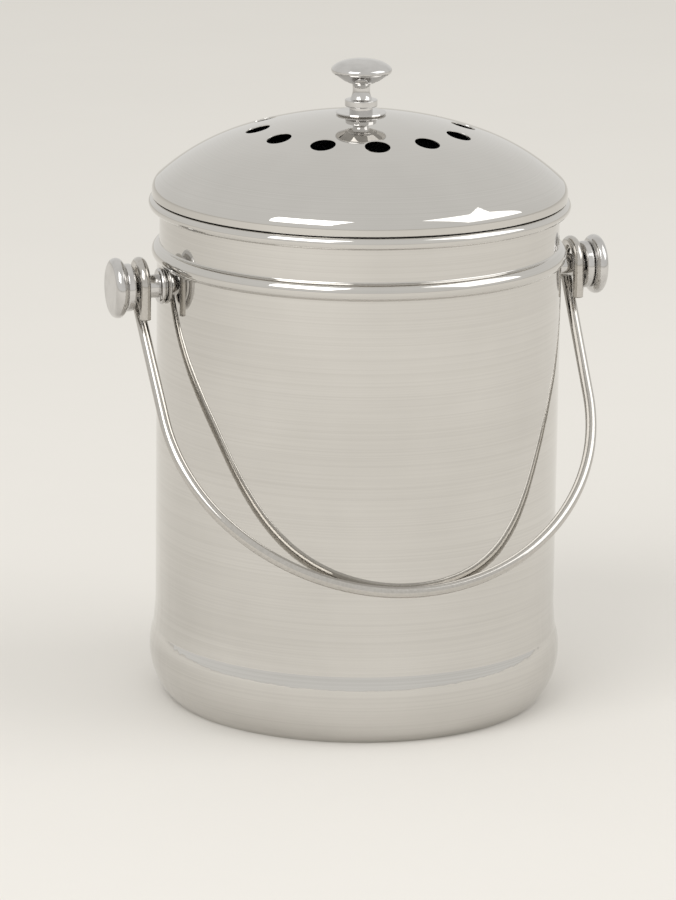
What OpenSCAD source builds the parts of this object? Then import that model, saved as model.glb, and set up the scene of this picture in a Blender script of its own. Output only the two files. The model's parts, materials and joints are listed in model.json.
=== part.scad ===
// Countertop scrap pail with a lift-off vented lid, a carbon filter under it and a swinging wire bail.
// Millimetres. Z is up, the origin is the centre of the flat base, X runs through the two ears.
// The bail is drawn at rest, leaning on the front of the pail, which faces -Y.

/* [Pail] */
// outer radius of the straight lower wall
body_r = 87; // [70:0.5:110]
// height of the rim's top above the base
pail_h = 220; // [190:1:260]
// thickness of the drawn steel sheet
sheet = 0.7; // [0.5:0.05:1.2]
// how far the wall steps in above the bead
neck_step = 1.1; // [0.5:0.1:2]
// radius of the rolled edge round the mouth
rim_r = 2.7; // [2:0.1:4]

/* [Bead] */
// distance of the bead's middle below the rim's top
bead_drop = 23.7; // [18:0.1:32]
// radius of the bead's round back
bead_r = 3.85; // [3.3:0.05:5]
// how far inside the wall the bead's centre lies
bead_in = 1.65; // [1.2:0.05:2.2]

/* [Foot] */
// how far the foot swells beyond the wall
foot_out = 2.5; // [1:0.1:4]
// height of the widest line of the foot
foot_z = 21; // [16:0.5:24]
// radius of the foot's swell, seen in section
foot_r = 30; // [26:0.5:40]
// radius of the hollow blend from foot to wall
foot_blend = 18; // [8:1:30]

/* [Ears] */
// distance of the ear's axis below the bead's middle
ear_drop = 11.4; // [11:0.1:16]
// radius of the round flange against the wall
ear_flange_r = 7.8; // [6:0.1:8]
// thickness of that flange
ear_flange_t = 2.6; // [1.5:0.1:4]
// radius of the stem that carries the bail
ear_stem_r = 5; // [4:0.1:5.8]
// length of the stem between flange and collar
ear_stem_l = 11.2; // [10.8:0.1:16]
// radius of the inner collar
ear_collar_r = 10.2; // [9:0.1:12]
// thickness of the inner collar
ear_collar_t = 3.9; // [3:0.1:6]
// radius of the end cap
ear_cap_r = 12.9; // [11:0.1:15]
// thickness of the end cap
ear_cap_t = 5.5; // [4.6:0.1:7]
// radius of the screw that holds an ear
ear_screw_r = 2.5; // [1.5:0.1:3]
// how deep that screw enters the end cap
ear_screw_in = 3; // [2:0.1:3.4]
// radius of the screw's head
ear_head_r = 4.6; // [4:0.1:6]
// thickness of the screw's head
ear_head_t = 2.4; // [1.5:0.1:4]
// radius of the sealing washer inside the pail
ear_seal_r = 6.6; // [5.5:0.1:8]
// least thickness of the sealing washer
ear_seal_t = 1.2; // [0.8:0.1:2]
// thickness of the steel washer under the screw's head
ear_washer_t = 1; // [0.6:0.1:1.6]

/* [Bail] */
// radius of the bail's wire
wire_r = 2.4; // [1.8:0.1:2.6]
// gap between the stem and the inside of the hook
hook_gap = 2; // [1.8:0.1:2.4]
// how far the middle of the hook's loop lies above the stem's axis
hook_rise = 1.2; // [0.4:0.1:1.4]
// distance of the hook's middle outward from the flange
hook_out = 7.4; // [6:0.1:8]
// length of the hook's short arm, which hangs straight down at rest
hook_arm = 13.5; // [8:0.5:18]
// inward slope of the straight legs in degrees
leg_slope = 2.2; // [1:0.1:3.5]
// length of a straight leg
leg_l = 60.2; // [58:0.1:80]
// radius of the bend at each side of the bow
side_bend_r = 88; // [76:0.5:90]
// angle where a side bend meets the bottom bend
side_bend_deg = 37; // [20:0.5:60]
// gap between the resting bail and the wall
bail_rest_gap = 0.3; // [0.2:0.05:0.6]

/* [Lid] */
// how far the lid's edge lies inside the rim's outer edge
lid_inset = 1.4; // [0.8:0.1:2]
// gap between the lid's edge and the rim's top
lid_gap = 0.3; // [0.2:0.05:0.6]
// thickness of the lid's sheet
lid_sheet = 0.7; // [0.5:0.05:1]
// radius of the hem along the lid's edge
hem_r = 1.1; // [0.9:0.05:1.6]
// radius of the crown, seen in section
crown_r = 165; // [140:1:200]
// angle from the middle where the crown ends
crown_deg = 20; // [16:0.5:22]
// angle where the shoulder ends and the edge bend starts
shoulder_deg = 41; // [36:0.5:48]
// radius of the bend at the lid's edge
edge_r = 9.5; // [7:0.5:14]
// radius of the flat seat under the knob
seat_r = 11; // [10.9:0.1:14]
// gap between the lid's locating skirt and the mouth
skirt_gap = 0.8; // [0.5:0.1:1.5]
// how deep the skirt hangs below the rim's top
skirt_depth = 9; // [6:0.5:14]

/* [Vents] */
// number of vent holes
vent_n = 12; // [6:1:16]
// radius of the circle the vents lie on
vent_circle = 44.5; // [36:0.5:50]
// radius of one vent hole
vent_r = 5.35; // [3:0.05:6]
// turn of the first vent from the X axis in degrees
vent_turn = 22.2; // [0:0.1:30]

/* [Knob] */
// radius of the knob's top
knob_r = 13; // [11:0.05:16]
// height of the knob above its plate
knob_h = 22.8; // [20:0.1:28]
// narrowest radius of the knob's neck
knob_neck_r = 3.7; // [3.3:0.1:4.5]
// radius of the knob's collar
knob_collar_r = 7; // [5.8:0.1:8]
// radius of the knob's plate
knob_plate_r = 10.8; // [9:0.05:10.85]
// thickness of the knob's plate
knob_plate_t = 1.1; // [0.8:0.1:2]
// radius of the knob's screw
knob_screw_r = 2; // [1.5:0.1:2.2]
// how deep that screw enters the knob
knob_screw_in = 10; // [6:0.5:13]
// radius of the washer inside the lid
knob_washer_r = 7; // [6:0.1:9]
// thickness of the washer inside the lid
knob_washer_t = 1; // [0.6:0.1:1.6]
// radius of the head of the knob's screw
knob_head_r = 3.8; // [3.4:0.1:5]
// thickness of the head of the knob's screw
knob_head_t = 2.2; // [1.5:0.1:3]

/* [Filter] */
// gap between the tray and the skirt
tray_gap = 0.3; // [0.2:0.05:0.6]
// thickness of the tray's wall and floor
tray_t = 1.6; // [1.2:0.1:2.4]
// how far the tray's floor lies above the skirt's lower edge
tray_lift = 1.5; // [0.5:0.1:4]
// gap between the top of the tray and the lid
tray_top_gap = 0.3; // [0.2:0.05:0.8]
// radius of one hole in the tray's floor
tray_hole_r = 5; // [3:0.5:5.5]
// spacing of the rings of holes in the tray's floor
tray_ring_step = 16; // [14:0.5:18]
// gap between the pad and the tray's wall
pad_gap = 0.6; // [0.3:0.1:1.2]
// thickness of the carbon pad
pad_t = 8; // [4:0.5:9]

/* [Quality] */
// facets in a full turn of the preview
turn_facets = 96; // [48:12:144]

/* [Hidden] */
$fn = turn_facets;
// radial gap of each screw in the holes it passes
screw_gap = 0.05;
// gap where a shaped washer meets the round wall
contact_gap = 0.02;
// segments along an arc of a turned outline
arc_n = 14;
// each length of wire ends this far short of its joint, and a ball closes the joint
seg_gap = 0.1;
wire_ball_r = wire_r * 1.02;

// pail
neck_r = body_r - neck_step;
mouth_r = neck_r - sheet;
rim_c = mouth_r + rim_r;
rim_z = pail_h - rim_r;
rim_out = rim_c + rim_r;
bead_z = pail_h - bead_drop;
bead_c = body_r - bead_in;
foot_c = body_r + foot_out - foot_r;
blend_c = body_r + foot_blend;
blend_z = foot_z + sqrt(pow(foot_r + foot_blend, 2) - pow(blend_c - foot_c, 2));
blend_a = atan2(blend_z - foot_z, blend_c - foot_c);

// ears
ear_z = bead_z - ear_drop;
flange_x = body_r;
stem_x = flange_x + ear_flange_t;
collar_x = stem_x + ear_stem_l;
cap_x = collar_x + ear_collar_t;
wall_in = body_r - sheet;
seal_x = wall_in - ear_seal_t;
washer_x = seal_x - ear_washer_t;

// bail
hook_r = ear_stem_r + hook_gap + wire_r;
hook_x = stem_x + hook_out;
leg_x = hook_x - leg_l * sin(leg_slope);
leg_w = leg_l * cos(leg_slope) - hook_rise;
side_x = leg_x - side_bend_r * cos(leg_slope);
side_w = leg_w - side_bend_r * sin(leg_slope);
bow_k = side_x / cos(side_bend_deg);
bow_r = side_bend_r + bow_k;
bow_w = side_w - bow_k * sin(side_bend_deg);
bow_low = bow_w + bow_r;
rest_d = body_r + wire_r + bail_rest_gap;
bail_lean = asin(rest_d / sqrt(bow_low * bow_low + hook_r * hook_r)) + atan2(hook_r, bow_low);

// lid
lid_r = rim_out - lid_inset;
hem_z = pail_h + lid_gap + hem_r;
crown_x = crown_r * sin(crown_deg);
shoulder_r = (lid_r - crown_x - edge_r * (1 - sin(shoulder_deg))) / (sin(shoulder_deg) - sin(crown_deg));
crown_drop = crown_r * (1 - cos(crown_deg));
shoulder_drop = shoulder_r * (cos(crown_deg) - cos(shoulder_deg));
apex_z = hem_z + crown_drop + shoulder_drop + edge_r * cos(shoulder_deg);
crown_cz = apex_z - crown_r;
shoulder_cx = crown_x - shoulder_r * sin(crown_deg);
shoulder_cz = apex_z - crown_drop - shoulder_r * cos(crown_deg);
edge_cx = lid_r - edge_r;
seat_z = crown_cz + sqrt(crown_r * crown_r - seat_r * seat_r);
function shoulder_in_z(r) = shoulder_cz + sqrt(pow(shoulder_r - lid_sheet, 2) - pow(r - shoulder_cx, 2));
vent_tilt = asin(vent_circle / crown_r);
skirt_r = mouth_r - skirt_gap;
skirt_z = pail_h - skirt_depth;
skirt_top = shoulder_in_z(skirt_r) - 0.05;

// knob
plate_top = seat_z + knob_plate_t;
knob_top = plate_top + knob_h;

// filter
tray_r = skirt_r - lid_sheet - tray_gap;
tray_z = skirt_z + tray_lift;
tray_top = shoulder_in_z(tray_r) - tray_top_gap;
pad_r = tray_r - tray_t - pad_gap;
pad_z = tray_z + tray_t;

function arc(cx, cz, r, a, b, n = arc_n) =
  [for (i = [0:n]) [cx + r * cos(a + (b - a) * i / n), cz + r * sin(a + (b - a) * i / n)]];

function rev(l) = [for (i = [len(l) - 1:-1:0]) l[i]];

// a rod from the origin along +X
module rod_x(r, l) {
  rotate([0, 90, 0])
    cylinder(r = r, h = l);
}

// turns an outline of [radius, position] pairs about X, position measured outward from x
module turned_x(x, pts) {
  translate([x, 0, ear_z])
    rotate([0, 90, 0])
      rotate_extrude()
        polygon(pts);
}

// drawn shell of the pail: one sheet with foot, bead, neck and rolled mouth
function shell_outer() = concat(
  [[0, 0]],
  arc(foot_c, foot_z, foot_r, -asin(foot_z / foot_r), blend_a),
  arc(blend_c, blend_z, foot_blend, 180 + blend_a, 180, 8),
  arc(bead_c, bead_z, bead_r, -acos(bead_in / bead_r), acos((bead_in - neck_step) / bead_r)),
  [[neck_r, rim_z]]
);
function shell_inner() = concat(
  [[0, sheet]],
  arc(foot_c, foot_z, foot_r - sheet, -asin((foot_z - sheet) / (foot_r - sheet)), blend_a),
  arc(blend_c, blend_z, foot_blend + sheet, 180 + blend_a, 180, 8),
  arc(bead_c, bead_z, bead_r - sheet, -acos((bead_in - sheet) / (bead_r - sheet)),
    acos((bead_in - neck_step - sheet) / (bead_r - sheet))),
  [[mouth_r, rim_z]]
);
module pail_body() {
  color([0.78, 0.77, 0.75])
    difference() {
      union() {
        rotate_extrude()
          polygon(concat(shell_outer(), rev(shell_inner())));
        translate([0, 0, rim_z])
          rotate_extrude()
            translate([rim_c, 0])
              circle(r = rim_r, $fn = 32);
      }
      for (s = [0, 1])
        mirror([s, 0, 0])
          translate([wall_in - 4, 0, ear_z])
            rod_x(ear_screw_r + screw_gap, 10);
    }
}

// round flange whose back is shaped to the pail's wall
module ear_flange() {
  e = ear_flange_t / 2;
  color([0.70, 0.70, 0.72])
    difference() {
      turned_x(flange_x, concat(
        [[ear_screw_r + screw_gap, -1.5], [ear_flange_r - e, -1.5]],
        [[ear_flange_r - e, 0]],
        arc(ear_flange_r - e, e, e, -90, 90, 10),
        [[ear_screw_r + screw_gap, ear_flange_t]]
      ));
      cylinder(r = body_r + contact_gap, h = pail_h, $fn = 720);
    }
}

// stem that the bail's hook hangs on
module ear_stem() {
  color([0.62, 0.62, 0.65])
    turned_x(stem_x, [
      [ear_screw_r + screw_gap, 0], [ear_stem_r, 0],
      [ear_stem_r, ear_stem_l], [ear_screw_r + screw_gap, ear_stem_l]
    ]);
}

// inner collar that keeps the hook on the stem
module ear_collar() {
  e = ear_collar_t * 0.3;
  color([0.74, 0.74, 0.76])
    turned_x(collar_x, concat(
      [[ear_screw_r + screw_gap, 0]],
      arc(ear_collar_r - e, e, e, -90, 0, 8),
      arc(ear_collar_r - e, ear_collar_t - e, e, 0, 90, 8),
      [[ear_screw_r + screw_gap, ear_collar_t]]
    ));
}

// end cap with a flat face and a full round edge, bored blind for the screw
module ear_cap() {
  e = ear_cap_t / 2;
  color([0.82, 0.82, 0.84])
    turned_x(cap_x, concat(
      [[ear_screw_r + screw_gap, 0]],
      arc(ear_cap_r - e, e, e, -90, 90, 14),
      [[0, ear_cap_t], [0, ear_screw_in], [ear_screw_r + screw_gap, ear_screw_in]]
    ));
}

// sealing washer inside the pail, its outer face shaped to the wall
module ear_seal() {
  color([0.12, 0.12, 0.12])
    intersection() {
      turned_x(seal_x, [
        [ear_screw_r + screw_gap, 0], [ear_seal_r, 0],
        [ear_seal_r, ear_seal_t], [ear_screw_r + screw_gap, ear_seal_t]
      ]);
      cylinder(r = wall_in - contact_gap, h = pail_h, $fn = 720);
    }
}

// steel washer under the head
module ear_washer() {
  color([0.6, 0.6, 0.6])
    turned_x(washer_x, [
      [ear_screw_r + screw_gap, 0], [ear_seal_r, 0],
      [ear_seal_r, ear_washer_t], [ear_screw_r + screw_gap, ear_washer_t]
    ]);
}

// screw from inside the pail through the ear's pieces into the cap
module ear_screw() {
  l = cap_x + ear_screw_in - contact_gap - washer_x;
  e = ear_head_t * 0.5;
  color([0.55, 0.55, 0.57])
    turned_x(washer_x - ear_head_t, concat(
      [[0, 0]],
      arc(ear_head_r - e, e, e, -90, 0, 6),
      [[ear_head_r, ear_head_t], [ear_screw_r, ear_head_t], [ear_screw_r, ear_head_t + l], [0, ear_head_t + l]]
    ));
}

// an arc of wire about Z from angle a to angle b, a hair short at both ends
module wire_arc(r, a, b) {
  d = seg_gap / r * 180 / PI;
  rotate([0, 0, a + d])
    rotate_extrude(angle = b - a - 2 * d)
      translate([r, 0])
        circle(r = wire_r, $fn = 32);
}

// a straight length of wire along Z, a hair short at both ends
module wire_rod(l) {
  translate([0, 0, seg_gap])
    cylinder(r = wire_r, h = l - 2 * seg_gap, $fn = 32);
}

// ball that joins two lengths of wire
module wire_ball() {
  sphere(r = wire_ball_r, $fn = 48);
}

// one hook, its short arm, the leg and the side bend, drawn with the bail hanging straight down
module bail_side() {
  // hook over the stem
  translate([hook_x, 0, hook_rise])
    rotate([0, 90, 0])
      wire_arc(hook_r, 90, 270 + bail_lean);
  // short arm in front, turned so that it hangs straight down at rest
  translate([hook_x, -hook_r * cos(bail_lean), hook_rise - hook_r * sin(bail_lean)]) {
    wire_ball();
    rotate([180 + bail_lean, 0, 0])
      wire_rod(hook_arm);
  }
  // straight leg
  translate([hook_x, hook_r, hook_rise]) {
    wire_ball();
    rotate([0, 180 + leg_slope, 0])
      wire_rod(leg_l);
  }
  translate([leg_x, hook_r, -leg_w])
    wire_ball();
  // side bend
  translate([side_x, hook_r, -side_w])
    rotate([-90, 0, 0]) {
      wire_arc(side_bend_r, leg_slope, side_bend_deg);
      rotate([0, 0, side_bend_deg])
        translate([side_bend_r, 0, 0])
          wire_ball();
    }
}

// whole bail: two hooks, two legs and one bow, leaning on the front wall
module bail_wire() {
  color([0.66, 0.65, 0.63])
    translate([0, 0, ear_z])
      rotate([-bail_lean, 0, 0])
        union() {
          bail_side();
          mirror([1, 0, 0])
            bail_side();
          translate([0, hook_r, -bow_w])
            rotate([-90, 0, 0])
              wire_arc(bow_r, side_bend_deg, 180 - side_bend_deg);
        }
}

// domed lid pressed from one sheet, with a flat seat for the knob, a ring of vents and a hemmed edge
function dome_line(t, r0) = concat(
  [[r0, seat_z - t]],
  arc(0, crown_cz, crown_r - t, 90 - asin(seat_r / (crown_r - t)), 90 - crown_deg),
  arc(shoulder_cx, shoulder_cz, shoulder_r - t, 90 - crown_deg, 90 - shoulder_deg),
  arc(edge_cx, hem_z, edge_r - t, 90 - shoulder_deg, 0, 10)
);
module lid_dome() {
  color([0.80, 0.79, 0.77])
    difference() {
      union() {
        rotate_extrude()
          polygon(concat(
            dome_line(0, knob_screw_r + screw_gap),
            rev(dome_line(lid_sheet, knob_screw_r + screw_gap))
          ));
        translate([0, 0, hem_z])
          rotate_extrude()
            translate([lid_r - hem_r, 0])
              circle(r = hem_r, $fn = 24);
      }
      for (i = [0:vent_n - 1])
        rotate([0, 0, vent_turn + i * 360 / vent_n])
          translate([0, 0, crown_cz])
            rotate([0, vent_tilt, 0])
              translate([0, 0, crown_r - 6])
                cylinder(r = vent_r, h = 12);
    }
}

// plain ring under the lid that drops into the mouth and centres the lid
module lid_skirt() {
  color([0.66, 0.66, 0.64])
    translate([0, 0, skirt_z])
      difference() {
        cylinder(r = skirt_r, h = skirt_top - skirt_z);
        translate([0, 0, -1])
          cylinder(r = skirt_r - lid_sheet, h = skirt_top - skirt_z + 2);
      }
}

// turned knob: step, collar, waisted neck, lip and round top, bored blind for the screw
module knob_grip() {
  h = knob_h;
  c = knob_collar_r;
  n = knob_neck_r;
  r = knob_r;
  b = knob_screw_r + screw_gap;
  color([0.84, 0.84, 0.86])
    translate([0, 0, plate_top])
      rotate_extrude()
        polygon(concat(
          [[b, 0], [c - 2, 0], [c - 2, 2.2], [c - 0.5, 2.3]],
          arc(c - 0.4, 2.8, 0.4, -75, 0, 4),
          arc(c - 0.4, 4.9, 0.4, 0, 80, 4),
          [[n + 1.2, 5.4]],
          arc(n + 8.3, h - 13.3, 8.3, 208, 159, 12),
          [[n + 0.9, h - 10.2], [n + 2.3, h - 10.1], [n + 2.7, h - 9.8], [n + 2.8, h - 9.5]],
          [[r * 0.615, h - 9.2], [r * 0.815, h - 7.5]],
          arc(r - 1.8, h - 4.85, 1.8, -55, 48, 10),
          [[r * 0.78, h - 2.3], [r * 0.55, h - 1.05], [r * 0.28, h - 0.3], [0, h]],
          [[0, knob_screw_in], [b, knob_screw_in]]
        ));
}

// thin plate between knob and lid
module knob_plate() {
  b = knob_screw_r + screw_gap;
  r = knob_plate_r;
  t = knob_plate_t;
  color([0.76, 0.76, 0.78])
    translate([0, 0, seat_z])
      rotate_extrude()
        polygon([[b, 0], [r - 0.7, 0], [r - 0.1, t * 0.4], [r, t * 0.7], [r - 0.15, t], [b, t]]);
}

// washer inside the lid
module knob_washer() {
  color([0.58, 0.58, 0.6])
    translate([0, 0, seat_z - lid_sheet - knob_washer_t])
      difference() {
        cylinder(r = knob_washer_r, h = knob_washer_t);
        translate([0, 0, -1])
          cylinder(r = knob_screw_r + screw_gap, h = knob_washer_t + 2);
      }
}

// screw from inside the lid into the knob
module knob_screw() {
  z0 = seat_z - lid_sheet - knob_washer_t;
  e = knob_head_t * 0.5;
  color([0.5, 0.5, 0.52])
    translate([0, 0, z0 - knob_head_t])
      rotate_extrude()
        polygon(concat(
          [[0, 0]],
          arc(knob_head_r - e, e, e, -90, 0, 6),
          [[knob_head_r, knob_head_t], [knob_screw_r, knob_head_t]],
          [[knob_screw_r, knob_head_t + plate_top + knob_screw_in - contact_gap - z0]],
          [[0, knob_head_t + plate_top + knob_screw_in - contact_gap - z0]]
        ));
}

// tray that holds the carbon pad inside the lid's skirt, its floor pierced by rings of holes
module filter_tray() {
  rings = floor((pad_r - tray_hole_r - 2) / tray_ring_step);
  color([0.1, 0.1, 0.11])
    translate([0, 0, tray_z])
      difference() {
        cylinder(r = tray_r, h = tray_top - tray_z);
        translate([0, 0, tray_t])
          cylinder(r = tray_r - tray_t, h = tray_top - tray_z);
        translate([0, 0, -1])
          cylinder(r = tray_hole_r, h = tray_t + 2);
        for (k = [1:rings])
          for (i = [0:6 * k - 1])
            rotate([0, 0, i * 60 / k])
              translate([k * tray_ring_step, 0, -1])
                cylinder(r = tray_hole_r, h = tray_t + 2);
      }
}

// carbon pad lying in the tray
module filter_pad() {
  color([0.05, 0.05, 0.05])
    translate([0, 0, pad_z])
      cylinder(r = pad_r, h = pad_t);
}

pail_body();
mirror([1, 0, 0]) ear_flange();  // ear_left_flange
mirror([1, 0, 0]) ear_stem();  // ear_left_stem
mirror([1, 0, 0]) ear_collar();  // ear_left_collar
mirror([1, 0, 0]) ear_cap();  // ear_left_cap
mirror([1, 0, 0]) ear_seal();  // ear_left_seal
mirror([1, 0, 0]) ear_washer();  // ear_left_washer
mirror([1, 0, 0]) ear_screw();  // ear_left_screw
ear_flange();  // ear_right_flange
ear_stem();  // ear_right_stem
ear_collar();  // ear_right_collar
ear_cap();  // ear_right_cap
ear_seal();  // ear_right_seal
ear_washer();  // ear_right_washer
ear_screw();  // ear_right_screw
bail_wire();
lid_dome();
lid_skirt();
knob_grip();
knob_plate();
knob_washer();
knob_screw();
filter_tray();
filter_pad();
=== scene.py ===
"""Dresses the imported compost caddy: polished pail, vented lid, knob, ears, bail and filter."""

from __future__ import annotations

import json
import logging
import math
from collections.abc import Iterable, Sequence
from dataclasses import dataclass, field
from enum import Enum

import bmesh
import bpy
from mathutils import Matrix, Vector

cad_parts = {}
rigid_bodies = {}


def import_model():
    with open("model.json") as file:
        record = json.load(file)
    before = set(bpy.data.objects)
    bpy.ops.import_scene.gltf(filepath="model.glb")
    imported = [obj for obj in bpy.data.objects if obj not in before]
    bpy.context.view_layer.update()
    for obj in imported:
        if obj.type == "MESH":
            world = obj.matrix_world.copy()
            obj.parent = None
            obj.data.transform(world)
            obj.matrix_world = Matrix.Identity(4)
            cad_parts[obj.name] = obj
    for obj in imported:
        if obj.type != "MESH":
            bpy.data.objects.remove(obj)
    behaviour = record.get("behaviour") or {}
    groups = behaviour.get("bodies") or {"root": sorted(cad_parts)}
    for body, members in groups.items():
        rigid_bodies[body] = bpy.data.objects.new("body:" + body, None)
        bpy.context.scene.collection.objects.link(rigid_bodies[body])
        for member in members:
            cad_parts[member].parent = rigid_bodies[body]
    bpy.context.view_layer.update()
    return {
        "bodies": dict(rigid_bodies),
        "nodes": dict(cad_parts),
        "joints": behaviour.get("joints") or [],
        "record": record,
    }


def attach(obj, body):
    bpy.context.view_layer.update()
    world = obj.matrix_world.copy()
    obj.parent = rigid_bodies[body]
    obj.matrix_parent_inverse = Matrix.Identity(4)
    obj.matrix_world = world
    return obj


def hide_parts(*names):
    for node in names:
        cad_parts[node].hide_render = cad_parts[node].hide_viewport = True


LOG = logging.getLogger("caddy")
MM = 0.001
Colour = tuple[float, float, float]


# ---------------------------------------------------------------- shader maths


class Socket:
    """A shader socket whose arithmetic adds Math nodes."""

    def __init__(self, bench: "ShaderBench", link: bpy.types.NodeSocket) -> None:
        """Wraps one output socket.

        Args:
            bench: the material that the socket belongs to.
            link: the output socket itself.
        """
        self.bench = bench
        self.link = link

    def _math(self, operation: str, *values: "Socket | float") -> "Socket":
        """One Math node.

        Args:
            operation: the node's operation.
            values: its inputs in order.

        Returns:
            The node's output.
        """
        return self.bench.node("ShaderNodeMath", {"operation": operation}, dict(enumerate(values)))

    def __add__(self, other: "Socket | float") -> "Socket":
        """Sum."""
        return self._math("ADD", self, other)

    def __radd__(self, other: float) -> "Socket":
        """Sum, reflected."""
        return self._math("ADD", other, self)

    def __sub__(self, other: "Socket | float") -> "Socket":
        """Difference."""
        return self._math("SUBTRACT", self, other)

    def __rsub__(self, other: float) -> "Socket":
        """Difference, reflected."""
        return self._math("SUBTRACT", other, self)

    def __mul__(self, other: "Socket | float") -> "Socket":
        """Product."""
        return self._math("MULTIPLY", self, other)

    def __rmul__(self, other: float) -> "Socket":
        """Product, reflected."""
        return self._math("MULTIPLY", other, self)

    def __truediv__(self, other: "Socket | float") -> "Socket":
        """Quotient."""
        return self._math("DIVIDE", self, other)

    def __rtruediv__(self, other: float) -> "Socket":
        """Quotient, reflected."""
        return self._math("DIVIDE", other, self)

    def __pow__(self, other: "Socket | float") -> "Socket":
        """Power."""
        return self._math("POWER", self, other)

    def span(self, low: float, high: float) -> "Socket":
        """Ramps the value smoothly from 0 at low to 1 at high.

        Args:
            low: the value that gives 0.
            high: the value that gives 1.

        Returns:
            The ramped value.
        """
        settings = {"interpolation_type": "SMOOTHSTEP"}
        return self.bench.node("ShaderNodeMapRange", settings, {0: self, 1: low, 2: high})


class ShaderBench:
    """One material under construction, with a method that adds any node."""

    def __init__(self, name: str) -> None:
        """Starts a material with an empty node tree.

        Args:
            name: the material's name.
        """
        self.material = bpy.data.materials.new(name)
        self.material.use_nodes = True
        self.tree = self.material.node_tree
        self.tree.nodes.clear()

    def node(
        self,
        kind: str,
        settings: dict[str, object] | None = None,
        values: dict[int | str, object] | None = None,
        output: int | str = 0,
    ) -> Socket:
        """Adds a node, sets it up, then fills its sockets.

        Args:
            kind: the node's type name.
            settings: its properties.
            values: numbers, colours or sockets by input index or name.
            output: the output to hand back.

        Returns:
            The chosen output, wrapped.
        """
        made = self.tree.nodes.new(kind)
        for key, value in (settings or {}).items():
            setattr(made, key, value)
        for key, value in (values or {}).items():
            target = made.inputs[key]
            if isinstance(value, Socket):
                self.tree.links.new(value.link, target)
            elif isinstance(value, tuple) and len(value) == 3 and target.type == "RGBA":
                target.default_value = (*value, 1.0)
            else:
                target.default_value = value
        return Socket(self, made.outputs[output])

    def place(self, scale: Colour = (1.0, 1.0, 1.0)) -> Socket:
        """Object coordinates through a Mapping node.

        Args:
            scale: the pattern's scale along each axis.

        Returns:
            The mapped position.
        """
        where = self.node("ShaderNodeTexCoord", output="Object")
        return self.node("ShaderNodeMapping", None, {"Vector": where, "Scale": scale})

    def noise(self, where: Socket, scale: float, detail: float = 2.0, roughness: float = 0.5) -> Socket:
        """A noise pattern, about 0.5 on average.

        Args:
            where: the position that it reads.
            scale: cells per metre of that position.
            detail: octaves.
            roughness: how strong the finer octaves are.

        Returns:
            The noise value.
        """
        values = {"Vector": where, "Scale": scale, "Detail": detail, "Roughness": roughness}
        return self.node("ShaderNodeTexNoise", None, values)

    def mix(self, factor: Socket | float, first: object, second: object) -> Socket:
        """Mixes two colours.

        Args:
            factor: 0 for the first and 1 for the second.
            first: a colour or socket.
            second: a colour or socket.

        Returns:
            The mixed colour.
        """
        values = {0: factor, 6: first, 7: second}
        return self.node("ShaderNodeMix", {"data_type": "RGBA"}, values, output=2)

    def bump(self, height: Socket, distance: float, under: Socket | None = None) -> Socket:
        """A bump from a height.

        Args:
            height: the height, about 0 to 1.
            distance: what a height of 1 stands for, in metres.
            under: another bump that it lies on.

        Returns:
            The bumped normal.
        """
        values = {"Strength": 1.0, "Distance": distance, "Height": height}
        if under is not None:
            values["Normal"] = under
        return self.node("ShaderNodeBump", None, values)

    def surface(self, values: dict[int | str, object]) -> bpy.types.Material:
        """Closes the material with a principled surface.

        Args:
            values: numbers, colours or sockets by input name.

        Returns:
            The finished material.
        """
        shader = self.node("ShaderNodeBsdfPrincipled", None, values)
        out = self.tree.nodes.new("ShaderNodeOutputMaterial")
        self.tree.links.new(shader.link, out.inputs["Surface"])
        return self.material


# ---------------------------------------------------------------- finishes


class Lay(Enum):
    """Which way the polishing lines of a metal run."""

    ROUND_WALL = "rings stacked along Z"
    ROUND_TOP = "rings about Z seen from above"
    LENGTHWISE = "fine grain with no direction"


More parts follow.
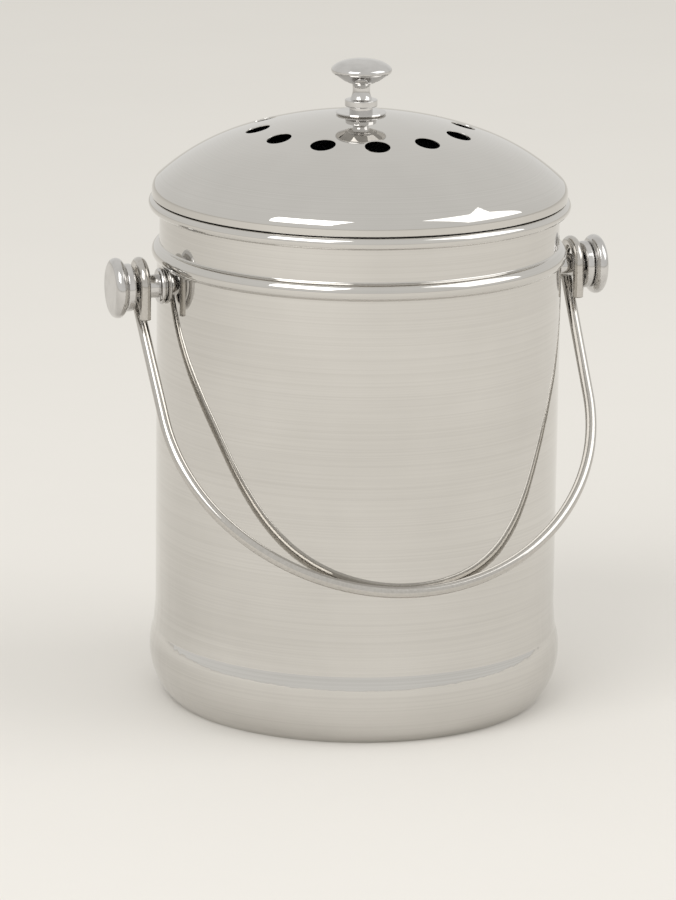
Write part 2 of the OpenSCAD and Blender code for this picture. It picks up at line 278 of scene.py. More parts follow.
@dataclass(frozen=True)
class PolishedSteel:
    """Sheet steel polished almost to a mirror, with fine lines left by the wheel."""

    name: str
    lay: Lay
    colour: Colour = (0.69, 0.675, 0.65)
    shade: Colour = (0.60, 0.585, 0.56)
    roughness: float = 0.035
    line_depth: float = 0.000004
    ripple: float = 0.00010
    fluted: tuple[float, float] = (0.105, 0.03)
    flute_share: float = 0.0

    def material(self) -> bpy.types.Material:
        """Makes the steel.

        Returns:
            The material.
        """
        bench = ShaderBench(self.name)
        if self.lay is Lay.ROUND_WALL:
            lines = bench.noise(bench.place((3.0, 3.0, 900.0)), 2.0, 4.0, 0.65)
        elif self.lay is Lay.ROUND_TOP:
            lines = self._rings(bench)
        else:
            lines = bench.noise(bench.place((1.0, 1.0, 1.0)), 900.0, 3.0, 0.6)
        cloud = bench.noise(bench.place(), 16.0, 3.0, 0.55)
        smears = bench.noise(bench.place((9.0, 9.0, 1.6)), 5.0, 2.0, 0.5)
        rough = self.roughness + cloud.span(0.35, 0.8) * 0.015 + lines.span(0.5, 0.8) * 0.05
        height = bench.node("ShaderNodeSeparateXYZ", None, {0: bench.place()}, output=2)
        flutes = bench.noise(bench.place((1.0, 1.0, 0.12)), 130.0, 2.0, 0.5)
        flutes = flutes * height.span(*self.fluted)
        wavy = bench.bump(smears + flutes * self.flute_share, self.ripple)
        normal = bench.bump(lines, self.line_depth, wavy)
        worn = lines.span(0.35, 0.75) * 0.6 + cloud.span(0.3, 0.7) * 0.4
        return bench.surface(
            {
                "Base Color": bench.mix(worn, self.colour, self.shade),
                "Metallic": 1.0,
                "Roughness": rough,
                "Normal": normal,
            }
        )

    @staticmethod
    def _rings(bench: ShaderBench) -> Socket:
        """Fine rings about Z, by distance from the axis.

        Args:
            bench: the material being made.

        Returns:
            The rings' height.
        """
        flat = bench.place((1.0, 1.0, 0.0))
        radius = bench.node("ShaderNodeVectorMath", {"operation": "LENGTH"}, {0: flat}, output="Value")
        spread = bench.node("ShaderNodeCombineXYZ", None, {0: radius * 900.0})
        return bench.noise(spread, 2.0, 4.0, 0.65)


@dataclass(frozen=True)
class Chrome:
    """Bright turned metal with a soft polish."""

    name: str
    colour: Colour = (0.66, 0.65, 0.64)
    shade: Colour = (0.56, 0.55, 0.54)
    roughness: float = 0.03

    def material(self) -> bpy.types.Material:
        """Makes the bright metal.

        Returns:
            The material.
        """
        bench = ShaderBench(self.name)
        fine = bench.noise(bench.place(), 2600.0, 3.0, 0.6)
        cloud = bench.noise(bench.place(), 160.0, 3.0, 0.5)
        return bench.surface(
            {
                "Base Color": bench.mix(cloud.span(0.35, 0.75), self.colour, self.shade),
                "Metallic": 1.0,
                "Roughness": self.roughness + cloud.span(0.4, 0.8) * 0.03,
                "Normal": bench.bump(fine, 0.0000015),
            }
        )


@dataclass(frozen=True)
class Rubber:
    """Black rubber with a fine grain."""

    name: str
    colour: Colour = (0.022, 0.022, 0.023)
    shade: Colour = (0.035, 0.034, 0.033)

    def material(self) -> bpy.types.Material:
        """Makes the rubber.

        Returns:
            The material.
        """
        bench = ShaderBench(self.name)
        grain = bench.noise(bench.place(), 1800.0, 4.0, 0.6)
        return bench.surface(
            {
                "Base Color": bench.mix(grain, self.colour, self.shade),
                "Roughness": 0.55 + grain * 0.2,
                "Normal": bench.bump(grain, 0.00004),
            }
        )


@dataclass(frozen=True)
class MouldedPlastic:
    """Dark moulded plastic with a soft grain."""

    name: str
    colour: Colour = (0.02, 0.02, 0.022)
    shade: Colour = (0.03, 0.03, 0.032)

    def material(self) -> bpy.types.Material:
        """Makes the plastic.

        Returns:
            The material.
        """
        bench = ShaderBench(self.name)
        grain = bench.noise(bench.place(), 1200.0, 3.0, 0.5)
        cloud = bench.noise(bench.place(), 40.0, 2.0, 0.5)
        return bench.surface(
            {
                "Base Color": bench.mix(cloud, self.colour, self.shade),
                "Roughness": 0.42 + cloud * 0.12,
                "Normal": bench.bump(grain, 0.00002),
            }
        )


@dataclass(frozen=True)
class CarbonFelt:
    """Needled felt full of carbon, black and matt."""

    name: str
    colour: Colour = (0.010, 0.010, 0.011)
    shade: Colour = (0.045, 0.044, 0.043)

    def material(self) -> bpy.types.Material:
        """Makes the felt.

        Returns:
            The material.
        """
        bench = ShaderBench(self.name)
        fibres = bench.noise(bench.place(), 900.0, 6.0, 0.7)
        lumps = bench.noise(bench.place(), 180.0, 3.0, 0.6)
        return bench.surface(
            {
                "Base Color": bench.mix(fibres.span(0.35, 0.75), self.colour, self.shade),
                "Roughness": 0.95,
                "Normal": bench.bump(fibres + lumps, 0.0006),
            }
        )


# ---------------------------------------------------------------- turning


class TurnedOutline:
    """A chain of vertices in the XZ plane that is spun about Z into a turned piece."""

    GUARD = 0.00015

    def __init__(self, radius: float, height: float) -> None:
        """Starts the chain.

        Args:
            radius: the first point's distance from the axis, in mm.
            height: its height, in mm.
        """
        self.bm = bmesh.new()
        self.first = self.bm.verts.new((radius * MM, 0.0, height * MM))
        self.tip = self.first

    def _step(self, place: Vector) -> None:
        """Adds one vertex to the chain.

        Args:
            place: where it goes.
        """
        fresh = bmesh.ops.extrude_vert_indiv(self.bm, verts=[self.tip])["verts"][0]
        fresh.co = place
        self.tip = fresh

    def line(self, radius: float, height: float, *, stops: Iterable[float] = ()) -> "TurnedOutline":
        """Runs straight to a point, with a guard vertex near each end of a long run.

        Args:
            radius: the point's distance from the axis, in mm.
            height: its height, in mm.
            stops: heights in mm at which the run gets more vertices.

        Returns:
            The outline itself.
        """
        start, end = self.tip.co.copy(), Vector((radius * MM, 0.0, height * MM))
        run = (end - start).length
        if run > 6 * self.GUARD:
            self._step(start.lerp(end, self.GUARD / run))
            for stop in stops:
                self._step(start.lerp(end, (stop * MM - start.z) / (end.z - start.z)))
            self._step(start.lerp(end, 1.0 - self.GUARD / run))
        self._step(end)
        return self

    def arc(self, radius: float, height: float, degrees: float, step: float = 3.0) -> "TurnedOutline":
        """Turns about a centre, anticlockwise for positive degrees with Z up and the axis at the left.

        Args:
            radius: the centre's distance from the axis, in mm.
            height: the centre's height, in mm.
            degrees: how far to turn.
            step: the turn of one segment, in degrees.

        Returns:
            The outline itself.
        """
        turned = bmesh.ops.spin(
            self.bm,
            geom=[self.tip],
            cent=(radius * MM, 0.0, height * MM),
            axis=(0.0, -1.0, 0.0),
            angle=math.radians(degrees),
            steps=max(2, round(abs(degrees) / step)),
        )
        self.tip = next(item for item in turned["geom_last"] if isinstance(item, bmesh.types.BMVert))
        return self

    def pole(self, height: float) -> "TurnedOutline":
        """Puts the last point exactly on the axis.

        Args:
            height: the point's height, in mm.

        Returns:
            The outline itself.
        """
        self.tip.co = (0.0, 0.0, height * MM)
        return self

    def close(self) -> "TurnedOutline":
        """Joins the last point to the first."""
        self.bm.edges.new((self.tip, self.first))
        return self

    def spun(self, steps: int = 192) -> bmesh.types.BMesh:
        """Spins the chain once round Z.

        Args:
            steps: segments round the axis.

        Returns:
            The closed mesh, its faces pointing outwards.
        """
        bmesh.ops.spin(
            self.bm,
            geom=self.bm.verts[:] + self.bm.edges[:],
            cent=(0.0, 0.0, 0.0),
            axis=(0.0, 0.0, 1.0),
            angle=math.tau,
            steps=steps,
            use_merge=True,
        )
        bmesh.ops.remove_doubles(self.bm, verts=self.bm.verts[:], dist=1e-6)
        bmesh.ops.recalc_face_normals(self.bm, faces=self.bm.faces[:])
        return self.bm


class Workshop:
    """Makes pieces of finished meshes and hangs them on the frame's bodies."""

    SHARP = math.radians(32.0)

    def piece(
        self,
        name: str,
        bm: bmesh.types.BMesh,
        *,
        body: str,
        material: bpy.types.Material,
        nodes: Sequence[str],
    ) -> bpy.types.Object:
        """Makes one piece that replaces CAD nodes.

        Args:
            name: the piece's name.
            bm: its mesh, which is used up.
            body: the body that it rides on.
            material: its finish.
            nodes: the CAD nodes that it stands for.

        Returns:
            The piece.
        """
        made = self.loose(name, bm)
        made.data.materials.clear()
        made.data.materials.append(material)
        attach(made, body)
        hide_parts(*nodes)
        LOG.info("%s: %d faces on %s", name, len(made.data.polygons), body)
        return made

    def loose(self, name: str, bm: bmesh.types.BMesh) -> bpy.types.Object:
        """Makes a smooth shaded object of a mesh, with its creases kept sharp.

        Args:
            name: the object's name.
            bm: its mesh, which is used up.

        Returns:
            The object.
        """
        for face in bm.faces:
            face.smooth = True
        for edge in bm.edges:
            edge.smooth = len(edge.link_faces) != 2 or edge.calc_face_angle() < self.SHARP
        mesh = bpy.data.meshes.new(name)
        bm.to_mesh(mesh)
        bm.free()
        made = bpy.data.objects.new(name, mesh)
        bpy.context.scene.collection.objects.link(made)
        return made

    def cut(self, bm: bmesh.types.BMesh, tool: bmesh.types.BMesh) -> bmesh.types.BMesh:
        """Cuts one closed mesh out of another.

        Args:
            bm: the mesh that loses material, which is used up.
            tool: the mesh that is cut away, which is used up.

        Returns:
            What is left.
        """
        work, cutter = self.loose("work", bm), self.loose("cutter", tool)
        step = work.modifiers.new("cut", "BOOLEAN")
        step.operation, step.solver, step.object = "DIFFERENCE", "EXACT", cutter
        view = bpy.context.evaluated_depsgraph_get()
        left = bmesh.new()
        left.from_mesh(work.evaluated_get(view).to_mesh())
        for spent in (work, cutter):
            mesh = spent.data
            bpy.data.objects.remove(spent)
            bpy.data.meshes.remove(mesh)
        return left

    def keep(self, frame: dict[str, object], nodes: Iterable[str], material: bpy.types.Material) -> None:
        """Gives CAD nodes that stay a better material.

        Args:
            frame: the loaded frame.
            nodes: the nodes' names.
            material: their finish.
        """
        for name in nodes:
            held = frame["nodes"][name]
            held.data.materials.clear()
            held.data.materials.append(material)
            LOG.info("%s: kept", name)


def mirrored(bm: bmesh.types.BMesh) -> bmesh.types.BMesh:
    """Turns a mesh into its mirror image across X.

    Args:
        bm: the mesh.

    Returns:
        The same mesh, mirrored, its faces pointing outwards.
    """
    bmesh.ops.scale(bm, vec=(-1.0, 1.0, 1.0), verts=bm.verts[:])
    bmesh.ops.reverse_faces(bm, faces=bm.faces[:])
    return bm


# ---------------------------------------------------------------- the caddy


@dataclass
class Pail:
    """The drawn steel shell: flat base, swelled foot, wall, bead, neck and rolled rim. Sizes in mm."""

    wall_r: float = 87.0
    neck_r: float = 85.9
    sheet: float = 0.7
    foot: tuple[float, float, float] = (59.5, 21.0, 30.0)
    blend: tuple[float, float, float] = (105.0, 36.287, 18.0)
    bead: tuple[float, float, float] = (85.35, 196.3, 3.85)
    rim: tuple[float, float, float] = (87.9, 217.3, 2.7)
    crease: float = 0.7
    corner: float = 2.0
    taper: float = 4.9
    ease: float = 60.0
    ear_z: float = 184.9
    bore_r: float = 2.55
    finish: PolishedSteel = field(
        default_factory=lambda: PolishedSteel("pail_steel", Lay.ROUND_WALL, flute_share=3.2)
    )

    def mesh(self, shop: Workshop) -> bmesh.types.BMesh:
        """Spins the shell, outside first, and bores it for the ears' screws.

        Args:
            shop: does the boring.

        Returns:
            The mesh.
        """
        fr, fz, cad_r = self.foot
        br, bz, _ = self.blend
        cr, cz, ck = self.bead
        mr, mz, mk = self.rim
        low = -math.degrees(math.asin(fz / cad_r))
        up = math.degrees(math.atan2(bz - fz, br - fr))
        wall, neck, crease = self.wall_r, self.neck_r, self.crease
        low_dz = math.sqrt((ck + crease) ** 2 - (wall + crease - cr) ** 2)
        low_a = math.degrees(math.atan2(-low_dz, wall + crease - cr))
        top_dz = math.sqrt((ck + crease) ** 2 - (neck + crease - cr) ** 2)
        top_a = math.degrees(math.atan2(top_dz, neck + crease - cr))
        out = TurnedOutline(0.0, 0.0)
        out.line(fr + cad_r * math.cos(math.radians(low)), 0.0)
        out.arc(fr, fz, up - low, 2.0)
        self._run_up(out, up)
        out.line(wall, cz - low_dz, stops=(self.ear_z - 6.0, self.ear_z + 6.0))
        out.arc(wall + crease, cz - low_dz, low_a, 6.0).arc(cr, cz, top_a - low_a, 3.0)
        out.arc(neck + crease, cz + top_dz, -top_a, 6.0)
        under = math.degrees(math.acos((mr - neck) / mk))
        out.line(neck, mz - mk * math.sin(math.radians(under)))
        out.arc(mr, mz, 360.0 - under, 4.0)
        return self._inside(out, low, up, shop)

    def _run_up(self, out: TurnedOutline, up: float) -> None:
        """Runs from the foot's swell through a crisp hollow and a slight taper into the wall.

        Args:
            out: the outline, standing at the top of the swell.
            up: the swell's slope there, in degrees.
        """
        fr, fz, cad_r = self.foot
        slope, taper = math.radians(up), math.radians(self.taper)
        x = fr + (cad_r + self.corner) * math.cos(slope)
        z = fz + (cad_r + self.corner) * math.sin(slope)
        out.arc(x, z, self.taper - up, 1.5)
        start_x = self.wall_r + self.ease * (1.0 - math.cos(taper))
        start_z = z - self.corner * math.sin(taper)
        start_z += (x - self.corner * math.cos(taper) - start_x) / math.tan(taper)
        out.line(start_x, start_z)
        out.arc(self.wall_r + self.ease, start_z + self.ease * math.sin(taper), -self.taper, 0.7)

    def _inside(self, out: TurnedOutline, low: float, up: float, shop: Workshop) -> bmesh.types.BMesh:
        """Runs the outline back down the inside and spins it.

        Args:
            out: the outline, standing at the rim's inner side.
            low: the angle at which the foot's arc leaves the base; not used.
            up: the angle at which the foot's arc meets the blend.
            shop: does the boring.

        Returns:
            The mesh.
        """
        fr, fz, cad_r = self.foot
        br, bz, bk = self.blend
        cr, cz, ck = self.bead
        t = self.sheet
        mouth = self.neck_r - t
        thin = ck - t
        high_a = math.degrees(math.acos((mouth - cr) / thin))
        low_a = -math.degrees(math.acos((self.wall_r - t - cr) / thin))
        out.line(mouth, cz + thin * math.sin(math.radians(high_a)))
        out.arc(cr, cz, low_a - high_a, 4.0)
        out.line(self.wall_r - t, bz, stops=(self.ear_z + 6.0, self.ear_z - 6.0))
        out.arc(br, bz, up, 1.5)
        base_a = -math.degrees(math.asin((fz - t) / (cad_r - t)))
        out.arc(fr, fz, base_a - up, 3.0).line(0.0, t)
        shell = out.spun(256)
        drill = bmesh.new()
        across = Matrix.Translation((0.0, 0.0, self.ear_z * MM)) @ Matrix.Rotation(math.pi / 2, 4, "Y")
        for side in (-1.0, 1.0):
            place = Matrix.Translation((side * self.wall_r * MM, 0.0, 0.0)) @ across
            r = self.bore_r * MM
            bmesh.ops.create_cone(
                drill, cap_ends=True, segments=32, radius1=r, radius2=r, depth=0.01, matrix=place
            )
        return shop.cut(shell, drill)

    def dress(self, shop: Workshop) -> None:
        """Makes the piece.

        Args:
            shop: the workshop.
        """
        shop.piece(
            "pail_shell",
            self.mesh(shop),
            body="pail",
            material=self.finish.material(),
            nodes=["pail_body"],
        )


@dataclass
class Ear:
    """One stud that the bail hangs on: flange, stem, collar and cap. Sizes in mm, outward from the axis."""

    side: str
    axis_z: float = 184.9
    wall_r: float = 87.0
    flange: tuple[float, float] = (7.8, 2.6)
    stem: tuple[float, float] = (5.0, 11.2)
    collar: tuple[float, float] = (10.2, 3.9)
    cap: tuple[float, float] = (12.9, 5.5)
    bore_r: float = 2.55
    depth: float = 3.0

    def _laid(self, bm: bmesh.types.BMesh, start: float) -> bmesh.types.BMesh:
        """Lays a turned mesh along the ear's axis.

        Args:
            bm: the mesh, turned about Z.
            start: where its zero goes, in mm from the pail's axis.

        Returns:
            The mesh in place.
        """
        lay = Matrix.Translation((start * MM, 0.0, self.axis_z * MM)) @ Matrix.Rotation(math.pi / 2, 4, "Y")
        bmesh.ops.transform(bm, matrix=lay, verts=bm.verts[:])
        return mirrored(bm) if self.side == "left" else bm

    def flange_mesh(self, shop: Workshop) -> bmesh.types.BMesh:
        """A disc with a full round edge, its back shaped to the wall.

        Args:
            shop: does the shaping.

        Returns:
            The mesh.
        """
        r, t = self.flange
        e = t / 2
        out = TurnedOutline(self.bore_r, -1.5)
        out.line(r - e, -1.5).line(r - e, 0.0).arc(r - e, e, 180.0, 6.0).line(self.bore_r, t).close()
        disc = out.spun(96)
        lay = Matrix.Translation((self.wall_r * MM, 0.0, self.axis_z * MM))
        lay = lay @ Matrix.Rotation(math.pi / 2, 4, "Y")
        bmesh.ops.transform(disc, matrix=lay, verts=disc.verts[:])
        wall = bmesh.new()
        r = (self.wall_r + 0.02) * MM
        place = Matrix.Translation((0.0, 0.0, self.axis_z * MM))
        bmesh.ops.create_cone(
            wall, cap_ends=True, segments=512, radius1=r, radius2=r, depth=0.05, matrix=place
        )
        shaped = shop.cut(disc, wall)
        return mirrored(shaped) if self.side == "left" else shaped

    def stem_mesh(self) -> bmesh.types.BMesh:
        """The plain stem.

        Returns:
            The mesh.
        """
        r, length = self.stem
        out = TurnedOutline(self.bore_r, 0.0)
        out.line(r, 0.0).line(r, length).line(self.bore_r, length).close()
        return self._laid(out.spun(64), self.wall_r + self.flange[1])

    def collar_mesh(self) -> bmesh.types.BMesh:
        """The inner collar with rounded edges.

        Returns:
            The mesh.
        """
        r, t = self.collar
        e = t * 0.3
        out = TurnedOutline(self.bore_r, 0.0)
        out.line(r - e, 0.0).arc(r - e, e, 90.0, 5.0).line(r, t - e)
        out.arc(r - e, t - e, 90.0, 5.0).line(self.bore_r, t).close()
        return self._laid(out.spun(96), self.wall_r + self.flange[1] + self.stem[1])

    def cap_mesh(self) -> bmesh.types.BMesh:
        """The end cap with a full round edge and a flat face, bored blind.

        Returns:
            The mesh.
        """
        r, t = self.cap
        e = t / 2
        out = TurnedOutline(self.bore_r, 0.0)
        out.line(r - e, 0.0).arc(r - e, e, 180.0, 4.0).line(0.0, t)
        start = self.wall_r + self.flange[1] + self.stem[1] + self.collar[1]
        out.line(0.0, self.depth).line(self.bore_r, self.depth).close()
        return self._laid(out.spun(128), start)

    def dress(self, shop: Workshop, bright: bpy.types.Material) -> None:
        """Makes the ear's four pieces.

        Args:
            shop: the workshop.
            bright: their finish.
        """
        parts = {
            "flange": self.flange_mesh(shop),
            "stem": self.stem_mesh(),
            "collar": self.collar_mesh(),
            "cap": self.cap_mesh(),
        }
        for part, bm in parts.items():
            shop.piece(
                f"stud_{self.side}_{part}",
                bm,
                body="pail",
                material=bright,
                nodes=[f"ear_{self.side}_{part}"],
            )


@dataclass
class Bail:
    """One wire bent into two hooks, two legs and a bow. Sizes in mm, hanging straight down first."""

    wire_r: float = 2.4
    hook_r: float = 9.4
    hook_x: float = 97.0
    rise: float = 1.2
    arm: float = 13.5
    leg: float = 60.2
    slope: float = 2.2
    bend_r: float = 88.0
    bend_to: float = 37.0
    lean: float = 41.191
    axis_z: float = 184.9
    finish: PolishedSteel = field(
        default_factory=lambda: PolishedSteel(
            "bail_steel", Lay.LENGTHWISE, colour=(0.60, 0.58, 0.55), shade=(0.50, 0.48, 0.45), roughness=0.07
        )
    )

    def mesh(self) -> bmesh.types.BMesh:
        """Draws a ring of the wire along one half of the bail, then mirrors it.

        Returns:
            The mesh.
        """
        bm = bmesh.new()
        lean = math.radians(self.lean)
        up = Vector((0.0, -math.sin(lean), math.cos(lean)))
        front = Vector((self.hook_x, -self.hook_r * math.cos(lean), self.rise - self.hook_r * math.sin(lean)))
        place = Matrix.Translation((front - up * self.arm) * MM) @ Matrix.Rotation(lean, 4, "X")
        bmesh.ops.create_circle(bm, cap_ends=True, segments=36, radius=self.wire_r * MM, matrix=place)
        edges = [edge for edge in bm.edges if edge.is_boundary]
        edges = self._straight(bm, edges, up * self.arm * MM)
        over = 180.0 + self.lean
        edges = self._bent(bm, edges, (self.hook_x, 0.0, self.rise), (-1.0, 0.0, 0.0), over, 44)
        tilt = Matrix.Rotation(math.radians(self.slope), 3, "Y")
        corner = Vector((self.hook_x, self.hook_r, self.rise)) * MM
        bmesh.ops.rotate(bm, cent=corner, matrix=tilt, verts=self._verts(edges))
        slope = math.radians(self.slope)
        down = Vector((-math.sin(slope), 0.0, -math.cos(slope))) * self.leg * MM
        edges = self._straight(bm, edges, down)
        leg_x = self.hook_x - self.leg * math.sin(slope)
        leg_w = self.leg * math.cos(slope) - self.rise
        side_x = leg_x - self.bend_r * math.cos(slope)
        side_w = leg_w - self.bend_r * math.sin(slope)
        turn = self.bend_to - self.slope
        edges = self._bent(bm, edges, (side_x, self.hook_r, -side_w), (0.0, 1.0, 0.0), turn, 20)
        reach = side_x / math.cos(math.radians(self.bend_to))
        bow_w = side_w - reach * math.sin(math.radians(self.bend_to))
        edges = self._bent(bm, edges, (0.0, self.hook_r, -bow_w), (0.0, 1.0, 0.0), 90.0 - self.bend_to, 40)
        for vert in self._verts(edges):
            vert.co.x = 0.0
        bmesh.ops.mirror(bm, geom=bm.verts[:] + bm.edges[:] + bm.faces[:], axis="X", merge_dist=1e-6)
        bmesh.ops.remove_doubles(bm, verts=bm.verts[:], dist=1e-6)
        bmesh.ops.recalc_face_normals(bm, faces=bm.faces[:])
        ends = [edge for edge in bm.edges if edge.calc_face_angle(0.0) > 1.2]
        bmesh.ops.bevel(
            bm,
            geom=ends,
            offset=0.0005,
            affect="EDGES",
            segments=3,
            profile=0.5,
            material=-1,
            offset_type="OFFSET",
        )
        hang = Matrix.Translation((0.0, 0.0, self.axis_z * MM)) @ Matrix.Rotation(-lean, 4, "X")
        bmesh.ops.transform(bm, matrix=hang, verts=bm.verts[:])
        return bm

    @staticmethod
    def _verts(edges: Iterable[bmesh.types.BMEdge]) -> list[bmesh.types.BMVert]:
        """The vertices of some edges, once each."""
        return list({vert for edge in edges for vert in edge.verts})

    @staticmethod
    def _straight(
        bm: bmesh.types.BMesh, edges: list[bmesh.types.BMEdge], along: Vector
    ) -> list[bmesh.types.BMEdge]:
        """Draws the wire straight on, with a guard ring near both ends.

        Args:
            bm: the mesh.
            edges: the ring at the wire's end.
            along: how far and which way.

        Returns:
            The new ring.
        """
        guard = 0.0003 / along.length
        for share in (guard, 1.0 - 2.0 * guard, guard):
            made = bmesh.ops.extrude_edge_only(bm, edges=edges)["geom"]
            edges = [item for item in made if isinstance(item, bmesh.types.BMEdge) and item.is_boundary]
            bmesh.ops.translate(bm, vec=along * share, verts=Bail._verts(edges))
        return edges

    @staticmethod
    def _bent(
        bm: bmesh.types.BMesh,
        edges: list[bmesh.types.BMEdge],
        centre: tuple[float, float, float],
        axis: tuple[float, float, float],
        degrees: float,
        steps: int,
    ) -> list[bmesh.types.BMEdge]:
        """Bends the wire on about a centre.

        Args:
            bm: the mesh.
            edges: the ring at the wire's end.
            centre: the bend's centre, in mm.
            axis: the axis that it turns about.
            degrees: how far it turns.
            steps: rings along the bend.

        Returns:
            The new ring.
        """
        turned = bmesh.ops.spin(
            bm,
            geom=edges,
            cent=Vector(centre) * MM,
            axis=axis,
            angle=math.radians(degrees),
            steps=steps,
        )
        return [item for item in turned["geom_last"] if isinstance(item, bmesh.types.BMEdge)]

    def dress(self, shop: Workshop) -> None:
        """Makes the piece.

        Args:
            shop: the workshop.
        """
        shop.piece(
            "bail_bow",
            self.mesh(),
            body="bail",
            material=self.finish.material(),
            nodes=["bail_wire"],
        )


@dataclass
class Lid:
    """The pressed dome with its vents and hem, and the skirt inside it. Sizes in mm."""

    sheet: float = 0.7
    seat_r: float = 11.0
    seat_z: float = 255.531
    bore_r: float = 2.05
    crown: tuple[float, float] = (90.898, 165.0)
    crown_to: float = 20.0
    shoulder: tuple[float, float, float] = (24.304, 157.673, 93.94)
    rim_r: float = 89.2
    bend_z: float = 222.8
    hem: tuple[float, float, float] = (220.3, 2.2, 0.45)
    vents: int = 12
    vent_r: float = 5.35
    vent_circle: float = 44.5
    vent_turn: float = 22.2
    lip: float = 0.18
    skirt_r: float = 84.4
    skirt: tuple[float, float] = (211.0, 228.0)
    finish: PolishedSteel = field(
        default_factory=lambda: PolishedSteel(
            "lid_steel", Lay.ROUND_TOP, roughness=0.018, line_depth=0.0000015, ripple=0.00005
        )
    )

    def mesh(self, shop: Workshop) -> bmesh.types.BMesh:
        """Spins the sheet and punches the vents.

        Args:
            shop: does the punching.

        Returns:
            The mesh.
        """
        t = self.sheet
        cz, big = self.crown
        sx, sz, mid = self.shoulder
        wide, ez = self.rim_r, self.bend_z
        small = (mid**2 - (wide - sx) ** 2 - (ez - sz) ** 2) / (2 * (mid - wide + sx))
        ex = wide - small
        shoulder_to = math.degrees(math.atan2(ex - sx, ez - sz))
        seat_a = math.degrees(math.asin(self.seat_r / big))
        out = TurnedOutline(self.bore_r, self.seat_z)
        out.line(self.seat_r, self.seat_z)
        out.arc(0.0, cz, seat_a - self.crown_to, 0.6)
        out.arc(sx, sz, self.crown_to - shoulder_to, 0.8)
        out.arc(ex, ez, shoulder_to - 90.0, 2.0)
        foot, thick, nose = self.hem
        out.line(wide, foot + nose).arc(wide - nose, foot + nose, -90.0, 15.0)
        out.line(wide - thick + nose, foot).arc(wide - thick + nose, foot + nose, -90.0, 15.0)
        out.line(wide - thick, foot + thick / 2).line(wide - t, foot + thick * 0.9).line(wide - t, ez)
        out.arc(ex, ez, 90.0 - shoulder_to, 3.0)
        out.arc(sx, sz, shoulder_to - self.crown_to, 1.6)
        seat_in = math.degrees(math.asin(self.seat_r / (big - t)))
        out.arc(0.0, cz, self.crown_to - seat_in, 1.2)
        out.line(self.bore_r, self.seat_z - t).close()
        dome = out.spun(240)
        punch = bmesh.new()
        tilt = math.asin(self.vent_circle / big)
        r = self.vent_r * MM
        for i in range(self.vents):
            turn = math.radians(self.vent_turn + i * 360.0 / self.vents)
            place = (
                Matrix.Rotation(turn, 4, "Z")
                @ Matrix.Translation((0.0, 0.0, cz * MM))
                @ Matrix.Rotation(tilt, 4, "Y")
                @ Matrix.Translation((0.0, 0.0, big * MM))
            )
            bmesh.ops.create_cone(
                punch, cap_ends=True, segments=64, radius1=r, radius2=r, depth=0.012, matrix=place
            )
        pierced = shop.cut(dome, punch)
        lips = [edge for edge in pierced.edges if self._is_lip(edge)]
        bmesh.ops.bevel(
            pierced, geom=lips, offset=self.lip * MM, affect="EDGES", segments=2, profile=0.5, material=-1
        )
        return pierced

    def _is_lip(self, edge: bmesh.types.BMEdge) -> bool:
        """Whether an edge runs round the outer end of a vent."""
        places = [vert.co for vert in edge.verts]
        spread = [math.hypot(place.x, place.y) / MM for place in places]
        near = all(abs(reach - self.vent_circle) < self.vent_r + 1.0 for reach in spread)
        top = all(
            abs(math.hypot(reach, place.z / MM - self.crown[0]) - self.crown[1]) < 0.05
            for reach, place in zip(spread, places)
        )
        return near and top and len(edge.link_faces) == 2 and edge.calc_face_angle() > 1.0

    def skirt_mesh(self) -> bmesh.types.BMesh:
        """The plain ring that drops into the mouth.

        Returns:
            The mesh.
        """
        low, high = self.skirt
        r, t = self.skirt_r, self.sheet
        out = TurnedOutline(r, low)
        out.line(r, high).line(r - t, high).line(r - t, low).close()
        return out.spun(256)

    def dress(self, shop: Workshop) -> None:
        """Makes the dome and the skirt.

        Args:
            shop: the workshop.
        """
        steel = self.finish.material()
        for name, bm, node in (
            ("lid_cover", self.mesh(shop), "lid_dome"),
            ("lid_ring", self.skirt_mesh(), "lid_skirt"),
        ):
            shop.piece(name, bm, body="lid", material=steel, nodes=[node])


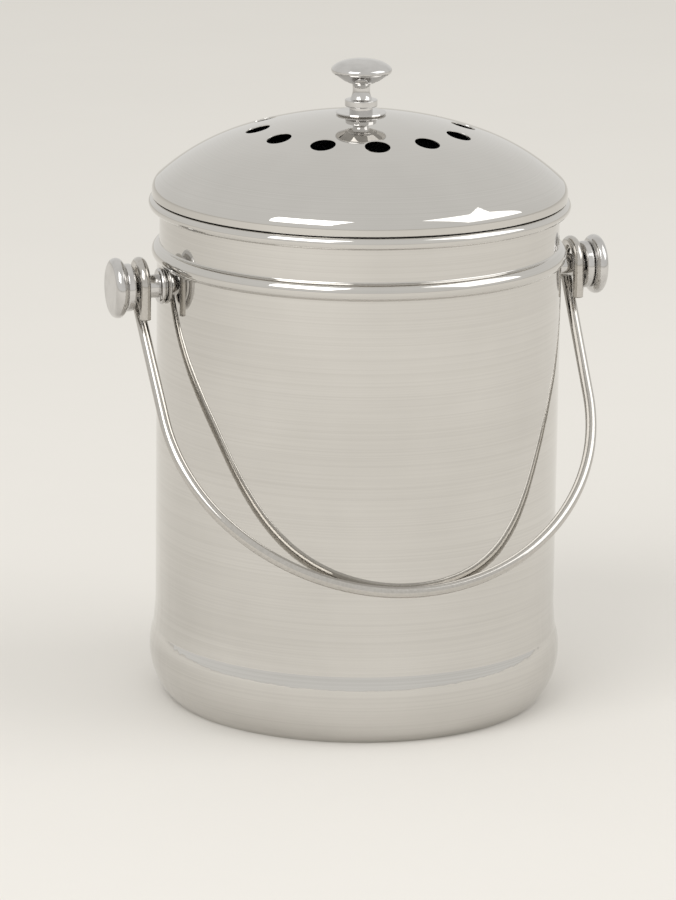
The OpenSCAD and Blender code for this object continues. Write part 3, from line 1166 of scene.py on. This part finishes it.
@dataclass
class Knob:
    """The turned knob on its thin plate. Sizes in mm."""

    foot_z: float = 255.531
    plate: tuple[float, float] = (10.8, 1.1)
    height: float = 22.8
    collar_r: float = 7.0
    neck_r: float = 3.7
    cap_r: float = 13.0
    bore_r: float = 2.05
    bore: float = 9.0

    def grip_mesh(self) -> bmesh.types.BMesh:
        """Spins the knob: step, collar, waist, lip and round top.

        Returns:
            The mesh.
        """
        z = self.foot_z + self.plate[1]
        h, c, n, r = z + self.height, self.collar_r, self.neck_r, self.cap_r
        out = TurnedOutline(self.bore_r, z)
        out.line(c - 2.0, z).line(c - 2.0, z + 2.2).line(c - 0.5, z + 2.3)
        out.line(c - 0.3, z + 2.41).arc(c - 0.4, z + 2.8, 75.0, 15.0).line(c, z + 4.9)
        out.arc(c - 0.4, z + 4.9, 80.0, 16.0).line(n + 1.2, z + 5.4).line(n + 0.97, h - 17.2)
        out.arc(n + 8.3, h - 13.3, -49.0, 3.5)
        out.line(n + 0.9, h - 10.2).line(n + 2.3, h - 10.1).line(n + 2.7, h - 9.8).line(n + 2.8, h - 9.5)
        out.line(r * 0.615, h - 9.2).line(r - 0.77, h - 6.32).arc(r - 1.8, h - 4.85, 103.0, 5.0)
        out.arc(r - 8.04, h - 11.78, 27.0, 3.0).arc(0.0, h - 30.3, 15.0, 1.5).pole(h)
        out.line(0.0, z + self.bore).line(self.bore_r, z + self.bore).close()
        return out.spun(128)

    def plate_mesh(self) -> bmesh.types.BMesh:
        """Spins the thin plate.

        Returns:
            The mesh.
        """
        r, t = self.plate
        z = self.foot_z
        out = TurnedOutline(self.bore_r, z)
        out.line(r - 0.7, z).line(r - 0.1, z + t * 0.4).line(r, z + t * 0.7).line(r - 0.15, z + t)
        out.line(self.bore_r, z + t).close()
        return out.spun(128)

    def dress(self, shop: Workshop, bright: bpy.types.Material) -> None:
        """Makes the knob and its plate.

        Args:
            shop: the workshop.
            bright: their finish.
        """
        for name, bm, node in (
            ("knob_turned", self.grip_mesh(), "knob_grip"),
            ("knob_disc", self.plate_mesh(), "knob_plate"),
        ):
            shop.piece(name, bm, body="lid", material=bright, nodes=[node])


# ---------------------------------------------------------------- the studio


@dataclass
class Studio:
    """The floor, the soft light and the pale surroundings."""

    floor_colour: Colour = (0.80, 0.775, 0.735)
    backdrop: Colour = (0.78, 0.77, 0.745)
    air: Colour = (0.79, 0.785, 0.765)

    def floor(self) -> None:
        """A wide plain floor."""
        bm = bmesh.new()
        bmesh.ops.create_grid(bm, x_segments=1, y_segments=1, size=30.0)
        mesh = bpy.data.meshes.new("floor")
        bm.to_mesh(mesh)
        bm.free()
        floor = bpy.data.objects.new("floor", mesh)
        bpy.context.scene.collection.objects.link(floor)
        bench = ShaderBench("floor_stone")
        cloud = bench.noise(bench.place(), 6.0, 4.0, 0.6)
        darker = tuple(part * 0.97 for part in self.floor_colour)
        floor.data.materials.append(
            bench.surface(
                {
                    "Base Color": bench.mix(cloud, self.floor_colour, darker),
                    "Roughness": 1.0,
                    "Specular IOR Level": 0.0,
                }
            )
        )

    def light(self) -> None:
        """A broad key, a fill and a pale world."""
        for name, size, power, place in (
            ("key", 1.6, 22.0, Vector((-1.5, -1.2, 2.0))),
            ("fill", 1.8, 14.0, Vector((1.7, -0.8, 1.7))),
        ):
            lamp = bpy.data.lights.new(name, "AREA")
            lamp.shape, lamp.size, lamp.energy = "SQUARE", size, power
            held = bpy.data.objects.new(name, lamp)
            held.location = place
            held.rotation_euler = (Vector((0, 0, 0.12)) - place).to_track_quat("-Z", "Y").to_euler()
            bpy.context.scene.collection.objects.link(held)
        world = bpy.data.worlds.new("room")
        world.use_nodes = True
        tree = world.node_tree
        background = tree.nodes["Background"]
        rays = tree.nodes.new("ShaderNodeLightPath")
        choice = tree.nodes.new("ShaderNodeMix")
        choice.data_type = "RGBA"
        choice.inputs[6].default_value = (*self.air, 1.0)
        choice.inputs[7].default_value = (*self.backdrop, 1.0)
        seen = tree.nodes.new("ShaderNodeMath")
        seen.operation = "MAXIMUM"
        tree.links.new(rays.outputs["Is Camera Ray"], seen.inputs[0])
        tree.links.new(rays.outputs["Is Glossy Ray"], seen.inputs[1])
        tree.links.new(seen.outputs[0], choice.inputs[0])
        tree.links.new(choice.outputs[2], background.inputs["Color"])
        bpy.context.scene.world = world


@dataclass
class Viewpoint:
    """The camera that stands where the photograph was taken from."""

    place: tuple[float, float, float] = (-0.61592, -2.01238, 0.64173)
    forward: tuple[float, float, float] = (0.28014, 0.92788, -0.24611)
    roll: float = 0.7318
    lens: float = 200.0

    def make(self) -> None:
        """Makes the camera and hands it to the scene."""
        data = bpy.data.cameras.new("viewpoint")
        data.lens, data.sensor_width = self.lens, 36.0
        data.clip_start, data.clip_end = 0.05, 60.0
        camera = bpy.data.objects.new("viewpoint", data)
        ahead = Vector(self.forward).normalized()
        right = ahead.cross(Vector((0.0, 0.0, 1.0))).normalized()
        above = right.cross(ahead)
        turn = Matrix((right, above, -ahead)).transposed().to_4x4()
        roll = Matrix.Rotation(math.radians(self.roll), 4, "Z")
        camera.matrix_world = Matrix.Translation(self.place) @ turn @ roll
        bpy.context.scene.collection.objects.link(camera)
        bpy.context.scene.camera = camera


def main() -> None:
    """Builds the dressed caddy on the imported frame."""
    logging.basicConfig(level=logging.INFO, format="%(name)s: %(message)s")
    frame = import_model()
    bpy.context.scene.view_settings.view_transform = "Standard"
    Viewpoint().make()
    studio = Studio()
    studio.floor()
    studio.light()
    shop = Workshop()
    Pail().dress(shop)
    ear_bright = Chrome("ear_chrome", roughness=0.1).material()
    for side in ("left", "right"):
        Ear(side).dress(shop, ear_bright)
    Bail().dress(shop)
    Lid().dress(shop)
    Knob().dress(shop, Chrome("knob_chrome", roughness=0.02).material())
    sides = ("left", "right")
    satin = Chrome("screw_steel", colour=(0.55, 0.54, 0.53), shade=(0.42, 0.41, 0.40), roughness=0.3)
    fixings = [f"ear_{side}_{part}" for side in sides for part in ("washer", "screw")]
    shop.keep(frame, [*fixings, "knob_washer", "knob_screw"], satin.material())
    shop.keep(frame, [f"ear_{side}_seal" for side in sides], Rubber("seal_rubber").material())
    shop.keep(frame, ["filter_tray"], MouldedPlastic("tray_plastic").material())
    shop.keep(frame, ["filter_pad"], CarbonFelt("carbon_felt").material())


if __name__ == "__main__":
    main()
